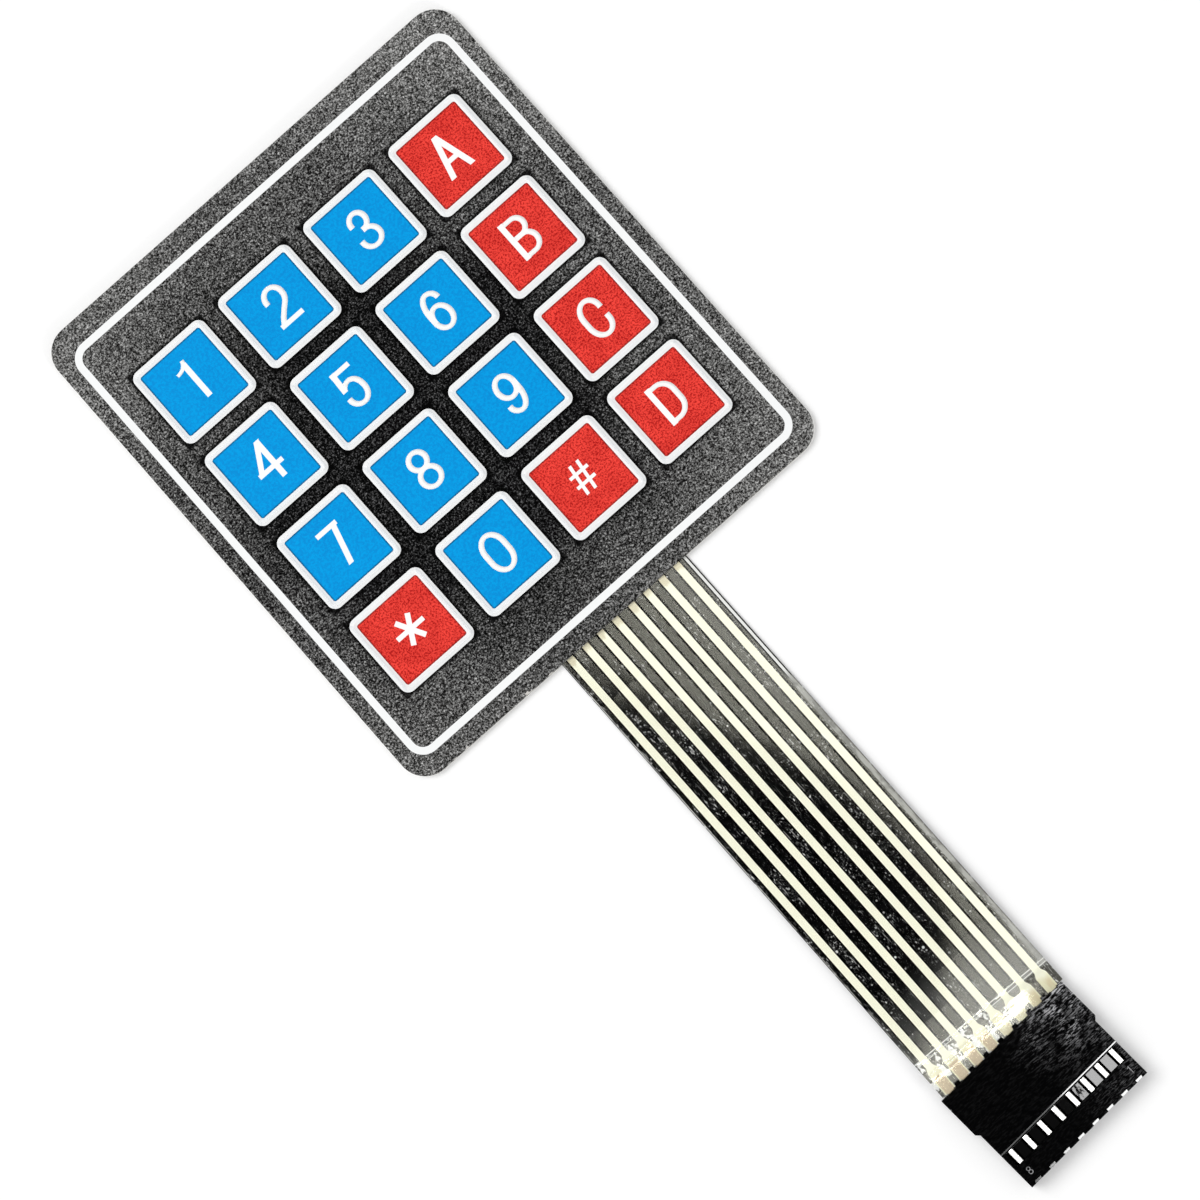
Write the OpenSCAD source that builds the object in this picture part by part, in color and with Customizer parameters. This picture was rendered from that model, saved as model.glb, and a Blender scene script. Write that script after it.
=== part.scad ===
// Membrane keypad with sixteen keys, a flat printed tail and an 8-way socket connector.
// The pad lies in the XY plane with its release liner on z = 0 and its centre at the origin.
// +X runs towards the letter keys and +Y towards the top row, and the tail leaves towards -Y.

/* [Pad] */
// Width of the pad, along X
pad_w = 69; // [67:0.5:75]
// Height of the pad, along Y
pad_h = 76; // [75:0.5:86]
// Radius of the pad's corners
pad_corner_r = 3.8; // [2:0.1:5]

/* [Layers] */
// Thickness of the release liner
liner_t = 0.08; // [0.05:0.01:0.12]
// Thickness of the adhesive on the back
rear_adhesive_t = 0.10; // [0.05:0.01:0.15]
// Thickness of each circuit film
film_t = 0.10; // [0.08:0.01:0.12]
// Thickness of the printed conductors
ink_t = 0.02; // [0.01:0.005:0.03]
// Thickness of the spacer between the circuit films
spacer_t = 0.17; // [0.12:0.01:0.22]
// Thickness of the adhesive under the overlay
overlay_adhesive_t = 0.05; // [0.03:0.01:0.10]
// Thickness of the overlay film
overlay_t = 0.20; // [0.15:0.01:0.25]
// Height of the embossed rim around each key
rim_h = 0.20; // [0.1:0.05:0.3]
// Depth of the printed colours in the overlay
print_t = 0.03; // [0.02:0.01:0.05]

/* [Keys] */
// Distance between key columns
key_pitch_x = 14.73; // [13.5:0.01:15]
// Distance between key rows
key_pitch_y = 14.35; // [13.5:0.01:15]
// Side of a key's white frame
key_frame_w = 12.1; // [11:0.1:12.6]
// Side of a key's colour field
key_field_w = 10.2; // [9:0.1:10.6]
// Corner radius of a key's white frame
key_frame_r = 1.2; // [0.8:0.1:2]
// Corner radius of a key's colour field
key_field_r = 0.35; // [0.2:0.05:0.7]
// Width of the slope on each side of a key's rim
rim_slope = 0.4; // [0.3:0.05:0.45]
// Shift of the whole print along Y from the middle of the pad
print_shift_y = -0.3; // [-0.5:0.1:0.5]

/* [Border line] */
// Distance of the line from the pad's sides
border_inset_x = 2.05; // [1.5:0.05:2.5]
// Distance of the line from the pad's top and bottom
border_inset_y = 2.8; // [2:0.1:3.2]
// Width of the line
border_line_w = 1.0; // [0.6:0.1:1.4]
// Outer corner radius of the line
border_r = 2.6; // [2:0.1:3.5]

/* [Circuit] */
// Diameter of the printed contact discs
disc_d = 7; // [5:0.1:8]
// Diameter of the holes in the spacer
spacer_hole_d = 9; // [8.2:0.1:10]
// Width of the air channels that join the spacer's holes
vent_w = 1.4; // [1.2:0.1:2]
// Width of a printed conductor
track_w = 1.0; // [0.8:0.05:1.2]
// Distance between conductors in the tail
track_pitch = 2.56; // [2.5:0.01:2.58]
// Extra distance between the row conductors and the column conductors
track_group_gap = 0.21; // [0:0.01:0.3]
// Width of a conductor's end before the connector
land_w = 1.65; // [1.3:0.05:1.8]

/* [Tail] */
// Length of the tail between the pad and the connector
tail_len = 72.5; // [50:0.5:120]
// Width of the lower film in the tail
tail_w = 21.2; // [20.8:0.1:21.4]
// Width of the upper film in the tail
upper_tail_w = 20.1; // [19.9:0.1:20.3]
// Length before the connector that has no spacer
bare_len = 4.2; // [3.5:0.1:6]

/* [Connector] */
// Distance between contacts
contact_pitch = 2.54; // [2.54]
// Length of the housing from the tail side to the mating face
housing_len = 15.4; // [14.6:0.1:17]
// Width of the housing at its mating end
housing_w = 20.32; // [20.2:0.02:20.5]
// Height of the housing
housing_h = 3.0; // [2.8:0.1:3.4]
// Angle by which the connector sits askew on the tail
skew = 3.5; // [0:0.5:3.5]
// Width of a contact
contact_w = 0.7; // [0.6:0.05:0.8]

/* [Hidden] */

$fn = 48;
eps = 0.01;

// Heights of the layers in the pad
rear_adhesive_z = liner_t;
lower_film_z = rear_adhesive_z + rear_adhesive_t;
lower_film_top_z = lower_film_z + film_t;
upper_film_z = lower_film_top_z + spacer_t;
overlay_adhesive_z = upper_film_z + film_t;
overlay_z = overlay_adhesive_z + overlay_adhesive_t;
overlay_top_z = overlay_z + overlay_t;

// Places of the keys, and which of them are red: the last column and the ends of the last row
columns = [0:3];
rows = [0:3];
function key_x(col) = (col - 1.5) * key_pitch_x;
function key_y(row) = (1.5 - row) * key_pitch_y + print_shift_y;
function is_red(col, row) = col == 3 || (row == 3 && col != 1);

// Connector's place: its rear face crosses the tail's middle line at rear_y
rear_y = -pad_h / 2 - tail_len;
housing_x = 0.1;
housing_y = rear_y - housing_len / 2;
function rear_face_y(x) = housing_y + housing_len / 2 / cos(skew) + (x - housing_x) * tan(skew);

// Film stack in the connector, and where the films end
slot_mid_z = 1.5;
slot_film_z = slot_mid_z - ink_t / 2;
film_in_slot = 5.1;
film_end_y = rear_y - film_in_slot;
tongue_w = 19.5;
tail_shift = -0.2;
shoulder_gap = 0.12;

// Conductors in the tail, counted from the left: 0 to 3 are rows and 4 to 7 are columns
function tail_track_x(i) = tail_shift + (i - 3.5) * track_pitch + (i < 4 ? -0.5 : 0.5) * track_group_gap;
land_len = 3.6;
land_shoulder = 0.7;
land_start_y = rear_y + land_len;
land_end_gap = 0.14;
track_end_y = film_end_y + 0.3;

// Lanes that the conductors follow in the pad's margins
lane_pitch = 1.5;
edge_lane = 2.2;
function row_lane_x(row) = -pad_w / 2 + edge_lane + row * lane_pitch;
function row_lane_y(row) = -pad_h / 2 + edge_lane + row * lane_pitch;
function column_lane_y(col) = -pad_h / 2 + edge_lane + (col == 0 ? 0 : 2 * lane_pitch);

// The tail climbs gently from the pad's middle layers to the connector's slot
spacer_end_y = rear_y + bare_len;
pinch_len = 1.2;
climb_end_gap = 1.2;
climb_end_y = rear_y + climb_end_gap;
climb_steps = 18;
pinch_steps = 5;
function ease(t) = let (u = min(1, max(0, t))) u * u * (3 - 2 * u);
function low_z(y) = lower_film_top_z
    + (slot_film_z - lower_film_top_z) * ease((-pad_h / 2 - y) / (-pad_h / 2 - climb_end_y));
function high_z(y) = low_z(y) + spacer_t - (spacer_t - ink_t) * ease((spacer_end_y - y) / pinch_len);
function between(a, b, steps) = [for (i = [0:steps - 1]) a + (b - a) * i / steps];
spacer_stations = concat(
    [pad_h / 2],
    between(-pad_h / 2, spacer_end_y, climb_steps),
    [spacer_end_y]);
film_stations = concat(
    [pad_h / 2],
    between(-pad_h / 2, spacer_end_y, climb_steps),
    between(spacer_end_y, spacer_end_y - pinch_len, pinch_steps),
    between(spacer_end_y - pinch_len, climb_end_y, pinch_steps),
    [climb_end_y, film_end_y]);

// Housing details, in the connector's own frame with the mating face towards -Y
rear_l = housing_len / 2;
slot_w = 20.3;
slot_play = 0.06;
slot_h = 2 * film_t + ink_t + 2 * slot_play;
slot_len = 6;
rail_w = 21.3;
rail_len = 6.4;
rail_z = 0.6;
rail_h = 1.7;
tooth_w = 0.75;
tooth_len = 0.45;
tooth_drop = 0.2;
step_len = 5.4;
step_drop = 0.2;
step_slant_len = 0.2;
step_slant_h = 0.12;
trough_w = 19.2;
trough_start = 5.2;
trough_len = 2.1;
trough_floor_z = 2.1;
cavity_w = 1.3;
cavity_play = 0.1;
cavity_rear_play = 0.2;
cavity_front_len = 0.8;
pin_hole_w = 1.0;
lead_in_len = 0.35;
lead_in_h = 0.2;
contacts = [1:8];
function contact_x(i) = (4.5 - i) * contact_pitch;

// Contact fork, in the connector's own frame
jaw_end = rear_l - 3.2;
throat = rear_l - slot_len + 0.2;
fork_root = throat - 1.5;
beam_out = 0.8;
beam_in = 0.48;
nose_in = 0.24;
jaw_end_t = 0.34;
jaw_root_t = 0.44;
jaw_root_len = 0.3;
root_flare_len = 0.8;
tip_slant_len = 0.3;
tip_slant_h = 0.2;
nose_len = 0.9;
nose_slope_len = 1.9;
tip_y = -rear_l + 1.2;
film_half = film_t + ink_t / 2;
piercing_w = 0.3;
piercing_len = 0.5;
piercing_y = jaw_end - 0.8;

// Height of the plans that are cut to the shape of a layer
plan_h = housing_h + 2;

// Flat shapes
module rounded_rect(w, h, r) {
    square([w - 2 * r, h], center = true);
    square([w, h - 2 * r], center = true);
    for (x = [-1, 1], y = [-1, 1])
        translate([x * (w / 2 - r), y * (h / 2 - r)]) circle(r);
}

module pad_outline() {
    rounded_rect(pad_w, pad_h, pad_corner_r);
}

module bar(a, b, w) {
    lo = [min(a.x, b.x) - w / 2, min(a.y, b.y) - w / 2];
    hi = [max(a.x, b.x) + w / 2, max(a.y, b.y) + w / 2];
    translate(lo) square(hi - lo);
}

module at_keys() {
    for (col = columns, row = rows)
        translate([key_x(col), key_y(row)]) children();
}

module at_coloured_keys(red) {
    for (col = columns, row = rows)
        if (is_red(col, row) == red)
            translate([key_x(col), key_y(row)]) children();
}

module key_field_outline() {
    rounded_rect(key_field_w, key_field_w, key_field_r);
}

// Block with rounded corners whose four sides lean in, or out for a negative lean
module leaning_block(w, r, lean, h) {
    reach = w / 2 - r;
    for (x = [-1, 1], y = [-1, 1])
        translate([x * reach, y * reach, 0]) cylinder(h = h, r1 = r, r2 = r - lean);
    for (turn = [0, 90])
        rotate([90, 0, turn]) linear_extrude(2 * reach, center = true)
            polygon([[-w / 2, 0], [w / 2, 0], [w / 2 - lean, h], [lean - w / 2, h]]);
}

// The rims around the keys, standing on height z
module key_rims(z) {
    translate([0, 0, z]) at_keys() difference() {
        leaning_block(key_frame_w, key_frame_r, rim_slope, rim_h);
        leaning_block(key_field_w, key_field_r, -rim_slope, rim_h);
    }
}

module border_outline(inset) {
    translate([0, print_shift_y])
        rounded_rect(pad_w - 2 * border_inset_x - 2 * inset, pad_h - 2 * border_inset_y - 2 * inset,
                     border_r - inset);
}

// A film's outline: pad, tail up to the askew rear face of the connector, and a tongue inside it
module film_outline(w, shift) {
    left = shift - w / 2;
    right = shift + w / 2;
    tongue_left = tail_shift - tongue_w / 2;
    tongue_right = tail_shift + tongue_w / 2;
    pad_outline();
    polygon([
        [left, -pad_h / 2 + 1],
        [left, rear_face_y(left) + shoulder_gap],
        [tongue_left, rear_face_y(tongue_left) + shoulder_gap],
        [tongue_left, film_end_y],
        [tongue_right, film_end_y],
        [tongue_right, rear_face_y(tongue_right) + shoulder_gap],
        [right, rear_face_y(right) + shoulder_gap],
        [right, -pad_h / 2 + 1]]);
}

// One tail conductor from a lane in the pad to its end in the connector, with its wide land
module tail_track(i, start_y) {
    x = tail_track_x(i);
    left = x - land_w / 2;
    right = x + land_w / 2;
    shoulder_y = land_start_y - land_shoulder;
    bar([x, start_y], [x, track_end_y + track_w / 2], track_w);
    polygon([
        [x - track_w / 2, land_start_y],
        [left, shoulder_y],
        [left, rear_face_y(left) + land_end_gap],
        [right, rear_face_y(right) + land_end_gap],
        [right, shoulder_y],
        [x + track_w / 2, land_start_y]]);
}

module row_plan(row) {
    y = key_y(row);
    lane_x = row_lane_x(row);
    lane_y = row_lane_y(row);
    for (col = columns)
        translate([key_x(col), y]) circle(disc_d / 2);
    bar([lane_x, y], [key_x(3), y], track_w);
    bar([lane_x, lane_y], [lane_x, y], track_w);
    bar([lane_x, lane_y], [tail_track_x(row), lane_y], track_w);
    tail_track(row, lane_y);
}

module column_plan(col) {
    x = key_x(col);
    lane_y = column_lane_y(col);
    for (row = rows)
        translate([x, key_y(row)]) circle(disc_d / 2);
    bar([x, lane_y], [x, key_y(0)], track_w);
    bar([x, lane_y], [tail_track_x(4 + col), lane_y], track_w);
    tail_track(4 + col, lane_y);
}

// A layer that follows the tail: a side view between two heights, as wide as the pad
module side_view(stations, bottom, top) {
    n = len(stations);
    rotate([90, 0, 90])
        linear_extrude(pad_w + 2, center = true)
            polygon(concat(
                [for (i = [0:n - 1]) [stations[i], bottom[i]]],
                [for (i = [n - 1:-1:0]) [stations[i], top[i]]]));
}

module upright(h) {
    linear_extrude(h) children();
}

// Layer whose underside lies a given height above the lower film's top
module low_layer(stations, lift, t) {
    side_view(stations, [for (y = stations) low_z(y) + lift], [for (y = stations) low_z(y) + lift + t]);
}

// Layer whose underside lies a given height above the upper film's underside
module high_layer(stations, lift, t) {
    side_view(stations, [for (y = stations) high_z(y) + lift], [for (y = stations) high_z(y) + lift + t]);
}

// Connector's own frame
module in_connector() {
    translate([housing_x, housing_y, 0]) rotate([0, 0, skew]) children();
}

// Block given by its middle in X, its span in Y and its span in Z
module block(x, w, y0, y1, z0, z1) {
    translate([x - w / 2, min(y0, y1), z0]) cube([w, abs(y1 - y0), z1 - z0]);
}

// Teeth of the contacts, which pierce both films and the conductors
module piercings(numbers) {
    in_connector() for (i = numbers)
        block(contact_x(i), piercing_w, piercing_y, piercing_y + piercing_len,
              slot_mid_z - film_half, slot_mid_z + film_half);
}

// Printed overlay
module border_shape() {
    translate([0, 0, overlay_top_z - print_t]) upright(print_t) difference() {
        border_outline(0);
        border_outline(border_line_w);
    }
}

module key_field_shapes(red) {
    translate([0, 0, overlay_top_z - print_t]) upright(print_t) at_coloured_keys(red) key_field_outline();
}

module overlay_film() {
    color("#2b2b2d") difference() {
        union() {
            translate([0, 0, overlay_z]) upright(overlay_t) pad_outline();
            key_rims(overlay_top_z - print_t);
        }
        key_rims(overlay_z);
        border_shape();
        key_field_shapes(false);
        key_field_shapes(true);
    }
}

module border_print() {
    color("#f4f4f2") border_shape();
}

module key_frame_prints() {
    color("#f4f4f2") difference() {
        key_rims(overlay_top_z);
        key_rims(overlay_top_z - print_t);
    }
}

module blue_key_prints() {
    color("#009ee6") key_field_shapes(false);
}

module red_key_prints() {
    color("#eb322d") key_field_shapes(true);
}

module overlay_adhesive() {
    color("#d9d9d0") translate([0, 0, overlay_adhesive_z]) upright(overlay_adhesive_t) difference() {
        pad_outline();
        at_keys() rounded_rect(key_frame_w, key_frame_w, key_frame_r);
    }
}

// Circuit
module upper_circuit_film() {
    color("#c9d2d2") difference() {
        intersection() {
            upright(plan_h) film_outline(upper_tail_w, tail_shift);
            high_layer(film_stations, 0, film_t);
        }
        piercings(contacts);
    }
}

module column_tracks() {
    color("#e9e4cf") difference() {
        intersection() {
            upright(plan_h) for (col = columns) column_plan(col);
            high_layer(film_stations, -ink_t, ink_t);
        }
        piercings([1:4]);
    }
}

module row_tracks() {
    color("#e9e4cf") difference() {
        intersection() {
            upright(plan_h) for (row = rows) row_plan(row);
            low_layer(film_stations, 0, ink_t);
        }
        piercings([5:8]);
    }
}

module spacer() {
    color("#dfe3e0") difference() {
        intersection() {
            upright(plan_h) difference() {
                film_outline(upper_tail_w, tail_shift);
                at_keys() circle(spacer_hole_d / 2);
                for (row = rows)
                    bar([key_x(0), key_y(row)], [key_x(3), key_y(row)], vent_w);
            }
            low_layer(spacer_stations, 0, spacer_t);
        }
        column_tracks();
        row_tracks();
    }
}

module lower_circuit_film() {
    color("#17181a") difference() {
        intersection() {
            upright(plan_h) film_outline(tail_w, 0);
            low_layer(film_stations, -film_t, film_t);
        }
        piercings(contacts);
    }
}

module rear_adhesive() {
    color("#d8d2bc") translate([0, 0, rear_adhesive_z]) upright(rear_adhesive_t) pad_outline();
}

module release_liner() {
    color("#e8e2d2") upright(liner_t) pad_outline();
}

// Connector
module rails() {
    half_w = rail_w / 2;
    front = rear_l - rail_len;
    chamfer = half_w - housing_w / 2;
    translate([0, 0, rail_z]) linear_extrude(rail_h)
        polygon([
            [-half_w, rear_l],
            [half_w, rear_l],
            [half_w, front + chamfer],
            [half_w - chamfer, front],
            [chamfer - half_w, front],
            [-half_w, front + chamfer]]);
}

module contact_cavity(x) {
    low = slot_mid_z - beam_out;
    high = slot_mid_z + beam_out;
    front = -rear_l + cavity_front_len;
    half_hole = pin_hole_w / 2;
    block(x, contact_w, jaw_end + cavity_rear_play, fork_root, low, high);
    block(x, cavity_w, fork_root, front, low - cavity_play, high + cavity_play);
    block(x, pin_hole_w, front + eps, -rear_l - eps, slot_mid_z - half_hole, slot_mid_z + half_hole);
}

// Slanted cut along an upper edge that faces -Y, given by the cut's middle and width in X
module edge_slant(x, w, y, len, h, top) {
    translate([x - w / 2, 0, 0]) rotate([90, 0, 90]) linear_extrude(w)
        polygon([[y + len, top + eps], [y - eps, top - h], [y - eps, top + eps]]);
}

module connector_housing() {
    slot_z = slot_mid_z - slot_h / 2;
    step_y = -rear_l + step_len;
    trough_y = -rear_l + trough_start;
    color("#141416") in_connector() difference() {
        union() {
            block(0, housing_w, -rear_l, rear_l, 0, housing_h);
            rails();
            for (i = [1:7])
                block(contact_x(i) - contact_pitch / 2, tooth_w, rear_l - eps, rear_l + tooth_len,
                      slot_mid_z + slot_h / 2, housing_h - tooth_drop);
        }
        block(0, slot_w, rear_l - slot_len, rear_l + eps, slot_z, slot_z + slot_h);
        block(0, housing_w + 1, -rear_l - eps, step_y, housing_h - step_drop, housing_h + eps);
        edge_slant(0, housing_w + 1, step_y, step_slant_len, step_slant_h, housing_h);
        block(0, trough_w, trough_y - trough_len, trough_y, trough_floor_z, housing_h + eps);
        for (i = contacts) {
            contact_cavity(contact_x(i));
            edge_slant(contact_x(i), pin_hole_w, -rear_l, lead_in_len, lead_in_h, housing_h - step_drop);
        }
    }
}

// One fork: two jaws joined by a tooth through the film, a root and two sprung beams for the pin
module contact(i) {
    half = [
        [throat, film_half],
        [jaw_end, film_half],
        [jaw_end, film_half + jaw_end_t],
        [throat - jaw_root_len, film_half + jaw_root_t],
        [throat - root_flare_len, beam_out],
        [tip_y + tip_slant_len, beam_out],
        [tip_y, beam_out - tip_slant_h],
        [tip_y + nose_len, nose_in],
        [tip_y + nose_slope_len, beam_in],
        [fork_root, beam_in]];
    n = len(half);
    outline = concat(half, [for (k = [n - 1:-1:0]) [half[k].x, -half[k].y]]);
    color("#cfd2d4") union() {
        in_connector() translate([contact_x(i) - contact_w / 2, 0, slot_mid_z])
            rotate([90, 0, 90]) linear_extrude(contact_w) polygon(outline);
        piercings([i]);
    }
}

overlay_film();
border_print();
key_frame_prints();
blue_key_prints();
red_key_prints();
overlay_adhesive();
upper_circuit_film();
column_tracks();
spacer();
row_tracks();
lower_circuit_film();
rear_adhesive();
release_liner();
connector_housing();
for (i = contacts)
    contact(i);
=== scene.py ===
"""Looks of a 4 by 4 membrane keypad with a flat tail and an 8-way connector.

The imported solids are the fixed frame. This file adds the finishes, the legends, the clear film,
the moulded connector's rounded edges and a plain studio around them, all in metres.
"""

import math

import bmesh
import bpy
from bpy.props import FloatProperty, FloatVectorProperty, PointerProperty
from mathutils import Matrix, Vector


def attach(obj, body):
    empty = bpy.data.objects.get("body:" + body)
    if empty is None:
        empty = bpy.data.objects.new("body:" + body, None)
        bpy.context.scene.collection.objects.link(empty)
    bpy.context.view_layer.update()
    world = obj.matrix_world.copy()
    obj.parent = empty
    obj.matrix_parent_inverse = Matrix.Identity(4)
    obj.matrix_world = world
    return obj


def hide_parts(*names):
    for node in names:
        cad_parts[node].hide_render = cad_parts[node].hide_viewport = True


bl_info = {
    "name": "Membrane keypad looks",
    "version": (1, 0, 0),
    "blender": (4, 5, 0),
    "location": "View3D > Sidebar > Keypad",
    "description": "Finishes, legends, clear film and studio of a 4 by 4 membrane keypad",
    "category": "Object",
}

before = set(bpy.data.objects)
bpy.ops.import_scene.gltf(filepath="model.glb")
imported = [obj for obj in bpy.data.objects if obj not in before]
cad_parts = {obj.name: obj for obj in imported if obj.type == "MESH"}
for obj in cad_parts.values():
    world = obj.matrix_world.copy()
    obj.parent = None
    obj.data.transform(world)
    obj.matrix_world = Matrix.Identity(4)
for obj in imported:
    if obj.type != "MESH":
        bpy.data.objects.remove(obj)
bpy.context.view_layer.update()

MM = 0.001

# Places that the solids fix, in millimetres
KEY_PITCH_X = 14.73
KEY_PITCH_Y = 14.35
PRINT_SHIFT_Y = -0.3
HALF_FRAME = 6.05
HALF_FIELD = 5.1
HALF_LINE = (HALF_FRAME - HALF_FIELD) / 2.0
FIELD_TOP = 0.80
HALF_PAD_W = 34.5
HALF_PAD_H = 38.0
PAD_CORNER = 3.8
SHADE_X = -4.0
SHADE_Y = -3.0
TAIL_TOP_Y = -38.0
LAND_TOP_Y = -106.9
FILM_RIGHT = 9.85
FILM_LEFT = -10.25
FILM_EDGE = 10.6
TRACK_PITCH = 2.56
ROW_TRACK_X = -9.265
COLUMN_TRACK_X = 1.185
BETWEEN_TRACKS_X = -0.2
HOUSING_X = 0.1
HOUSING_Y = -118.2
HOUSING_SKEW = math.radians(3.5)
NOSE_TOP = 2.8
TROUGH_FLOOR = 2.1
SEAM_Y = -105.9
SEAM_SLOPE = -0.025

# Where marks on the tail and the connector begin and end along Y, in millimetres
EDGE_LINES_Y = (-60.0, -57.0)
LEFT_LINE_Y = (-88.0, -66.0)
SHEEN_PATCH_Y = (-70.0, -58.0)
STREAKS_Y = (-118.5, -112.5)
STEP_Y = (-123.0, -121.0)

# Pitch of the pins and place of the numbers on the connector, in millimetres from its middle
PIN_PITCH = 2.54
NUMBER_Y = -6.0
NUMBER_RISE = 0.06
NUMBER_PEN = 0.62
LEGEND_SPAN = 5.94

# Which faces of the connector are polished, by their normals and their height in millimetres
SLANT_Z = (0.80, 0.95)
SLANT_FRONT = 0.3
LEVEL_Z = 0.99
FLOOR_SLACK = 0.02

FLAT_ANGLE = math.radians(1.0)
BEND_ANGLE = math.radians(20.0)
SHARP_ANGLE = math.radians(40.0)
DISPLAY_GAMMA = 2.2

KEY_ROWS = ("123A", "456B", "789C", "*0#D")
PIECE_WORDS = {"*": "star", "#": "hash"}


# Settings that a user would change

def colour(name, description, default):
    """A colour setting of the panel."""
    return FloatVectorProperty(
        name=name, description=description, default=default, subtype="COLOR", size=3, min=0.0, max=1.0
    )


def length(name, description, default, low, high):
    """A length setting of the panel, given in millimetres."""
    return FloatProperty(
        name=name, description=description, default=default * MM, min=low * MM, max=high * MM,
        unit="LENGTH", precision=5,
    )


def power(name, description, default):
    """A setting for the power of a lamp."""
    return FloatProperty(name=name, description=description, default=default, min=0.0, unit="POWER")


class KeypadFinish(bpy.types.PropertyGroup):
    """Colours of the films, the prints and the connector."""

    overlay_core: colour("Overlay middle", "Overlay between the keys", (0.0038, 0.0038, 0.0040))
    # The rim colour is a painted sheen of the overlay towards its edges
    overlay_rim_sheen: colour("Overlay rim", "Overlay towards its edges", (0.155, 0.154, 0.150))
    white: colour("White print", "Border, key frames and legends", (0.93, 0.94, 0.94))
    blue: colour("Blue print", "Fields of the blue keys", (0.000, 0.355, 0.805))
    red: colour("Red print", "Fields of the red keys", (0.920, 0.064, 0.047))
    track: colour("Conductor", "Printed conductors in the tail", (0.985, 0.985, 0.79))
    land: colour("Conductor end", "Ends of the row conductors", (0.58, 0.44, 0.28))
    film: colour("Lower film", "Black film under the conductors", (0.0012, 0.0012, 0.0014))
    housing: colour("Housing", "Moulded connector", (0.0008, 0.0008, 0.0009))
    plating: colour("Plating", "Contacts of the connector", (0.90, 0.90, 0.88))
    floor: colour("Floor", "Studio floor", (0.86, 0.86, 0.86))


class KeypadSizes(bpy.types.PropertyGroup):
    """Sizes of what is printed on the keys and moulded on the connector."""

    legend_stroke: length("Legend stroke", "Width of an upright stroke of a legend", 0.78, 0.2, 1.5)
    legend_height: length("Legend thickness", "How far the legend ink stands on the key", 0.008, 0.002, 0.05)
    edge_round: length("Moulded edge", "Rounding of the connector's edges", 0.09, 0.02, 0.2)
    contact_round: length("Contact edge", "Rounding of the contacts' edges", 0.14, 0.02, 0.2)
    number_height: length("Number height", "Height of the numbers on the connector", 1.1, 0.5, 2.0)


class KeypadStudio(bpy.types.PropertyGroup):
    """Camera and light levels."""

    lens: FloatProperty(
        name="Lens", description="Focal length on a 36 mm sensor", default=114.36, min=20.0, max=300.0,
    )
    key_power: power("Key light", "Power of the large soft light", 11.4)
    glare_power: power("Glare light", "Power of the small light seen in the tail's end", 0.0115)
    crease_power: power("Crease light", "Power of the light seen in the film's creases", 0.012)
    edge_power: power("Edge light", "Power of the low light at the connector", 1.7)
    trough_power: power("Trough card", "Power of the card seen in the connector's trough", 0.30)
    sky: FloatProperty(
        name="Sky level", description="Even light from all round", default=0.5, min=0.0, max=2.0,
    )
    sheen: FloatProperty(
        name="Sheen level", description="Brightness of the sky in glossy surfaces", default=1.5,
        min=0.0, max=4.0,
    )


# Node helpers

def tree_of(*values):
    """The node tree of the first output among some values."""
    return next(value.id_data for value in values if isinstance(value, bpy.types.NodeSocket))


def feed(socket, value):
    """Links an output to the socket, or sets the socket's own value."""
    if isinstance(value, bpy.types.NodeSocket):
        socket.id_data.links.new(value, socket)
    else:
        socket.default_value = value


def add(tree, kind, settings=None, **inputs):
    """Adds a node with its settings and its inputs by socket name."""
    node = tree.nodes.new("ShaderNode" + kind)
    for name, value in (settings or {}).items():
        setattr(node, name, value)
    for name, value in inputs.items():
        feed(node.inputs[name.replace("_", " ")], value)
    return node


def maths(operation, *values, clamp=False):
    """One step of arithmetic on values or outputs."""
    node = add(tree_of(*values), "Math", {"operation": operation, "use_clamp": clamp})
    for socket, value in zip(node.inputs, values):
        feed(socket, value)
    return node.outputs[0]


def ramp(value, start, end, low=0.0, high=1.0, smooth=True):
    """Carries a value from one range to another, held at both ends."""
    node = add(
        tree_of(value), "MapRange",
        {"interpolation_type": "SMOOTHSTEP" if smooth else "LINEAR", "clamp": True},
        Value=value, From_Min=start, From_Max=end, To_Min=low, To_Max=high,
    )
    return node.outputs["Result"]


def product(first, *others):
    """Values multiplied together."""
    for other in others:
        first = maths("MULTIPLY", first, other)
    return first


def highest(first, *others):
    """The largest of some values."""
    for other in others:
        first = maths("MAXIMUM", first, other)
    return first


def rest(value):
    """What a value leaves of one."""
    return maths("SUBTRACT", 1.0, value)


def blend(amount, first, second):
    """Mixes two colours by an amount."""
    node = add(tree_of(amount), "Mix", {"data_type": "RGBA", "clamp_factor": True})
    feed(node.inputs["Factor"], amount)
    for socket, value in zip([s for s in node.inputs if s.type == "RGBA"], (first, second)):
        feed(socket, (*value, 1.0) if not isinstance(value, bpy.types.NodeSocket) else value)
    return next(s for s in node.outputs if s.type == "RGBA")


def noise(tree, scale, detail, turn=0.0, **settings):
    """Noise on the part's own place, with one scale or one for each axis, turned about Z."""
    by_axis = scale if isinstance(scale, tuple) else (scale, scale, scale)
    place = add(tree, "TexCoord").outputs["Object"]
    turned = add(tree, "Mapping", Vector=place, Rotation=(0.0, 0.0, turn), Scale=by_axis).outputs["Vector"]
    return add(tree, "TexNoise", Vector=turned, Scale=1.0, Detail=detail, **settings).outputs["Fac"]


def new_group(name, inputs, outputs):
    """A shader group with named float inputs and outputs, and its two end nodes."""
    tree = bpy.data.node_groups.new(name, "ShaderNodeTree")
    for socket, default in inputs.items():
        made = tree.interface.new_socket(socket, in_out="INPUT", socket_type="NodeSocketFloat")
        made.default_value = default
    for socket in outputs:
        tree.interface.new_socket(socket, in_out="OUTPUT", socket_type="NodeSocketFloat")
    return tree, tree.nodes.new("NodeGroupInput").outputs, tree.nodes.new("NodeGroupOutput").inputs


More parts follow.
